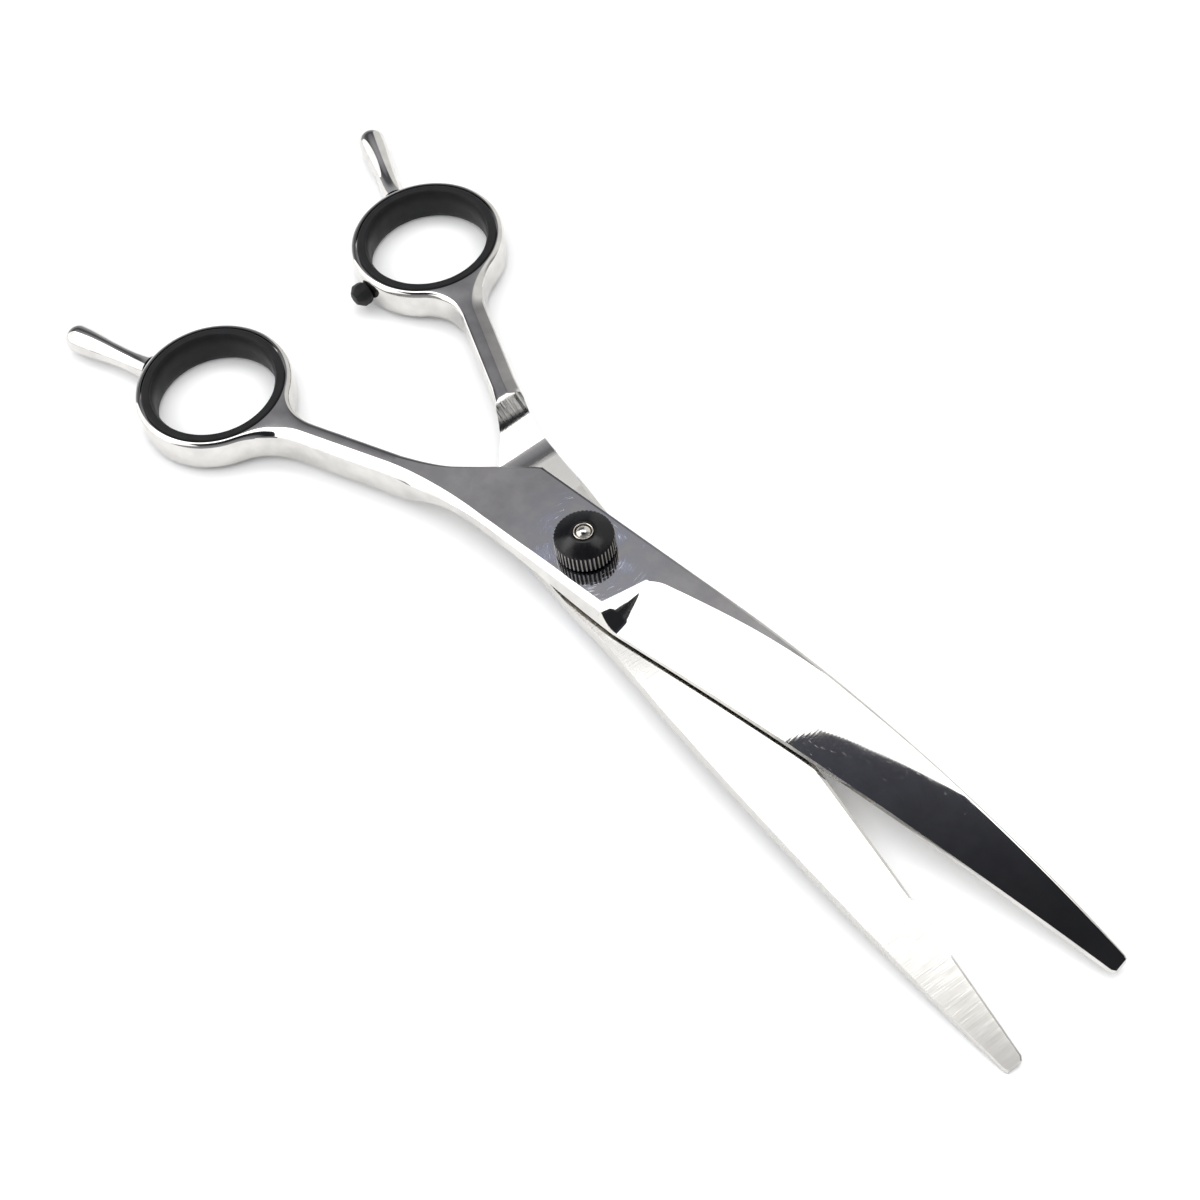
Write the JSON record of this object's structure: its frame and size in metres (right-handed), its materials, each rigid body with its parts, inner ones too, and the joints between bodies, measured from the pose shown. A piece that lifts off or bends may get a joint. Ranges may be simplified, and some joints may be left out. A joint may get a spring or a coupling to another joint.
{
  "type": "hair cutting shears",
  "caption": "Polished steel hair shears with down-curved blades crossing at a knurled thumb nut, offset finger rings with soft inserts, finger rests and a closing bumper",
  "frame": {"origin": "centre of the pivot screw head's outer face, on the pivot axis", "axes": "+X from the pivot to the blade tips, +Z along the pivot axis to the thumb nut, +Y to the spine side of the upper blade; the two halves lie at half the opening angle on either side of X"},
  "size_m": [0.2051, 0.0742, 0.0165],
  "materials": {
    "polished_steel": "mirror-polished stainless steel with fine hairline marks",
    "turned_steel": "turned stainless steel",
    "spring_steel": "tempered spring steel",
    "chrome": "bright plated metal",
    "black_plastic": "glossy moulded black",
    "black_rubber": "soft matt black",
    "white_acetal": "plain moulded white"
  },
  "bodies": {
    "lower": {"lower_half": "polished_steel", "finger_insert_right": "black_rubber", "finger_rest_right": "polished_steel", "bumper": "black_rubber", "pivot_screw": "turned_steel", "knob_washer": "white_acetal", "spring_washer": "spring_steel"},
    "upper": {"upper_half": "polished_steel", "finger_insert_left": "black_rubber", "finger_rest_left": "polished_steel", "pivot_bushing": "white_acetal", "glide_washer": "white_acetal"},
    "knob": {"tension_knob": "black_plastic", "knob_bush": "chrome"}
  },
  "joints": [
    {"name": "blade_pivot", "type": "hinge", "parent": "lower", "child": "upper", "pos_m": [0, 0, 0], "axis": [0, 0, 1], "range_deg": [-12.2, 80]},
    {"name": "tension_turn", "type": "hinge", "parent": "lower", "child": "knob", "pos_m": [0, 0, 0], "axis": [0, 0, 1], "range_deg": [-180, 180]}
  ]
}
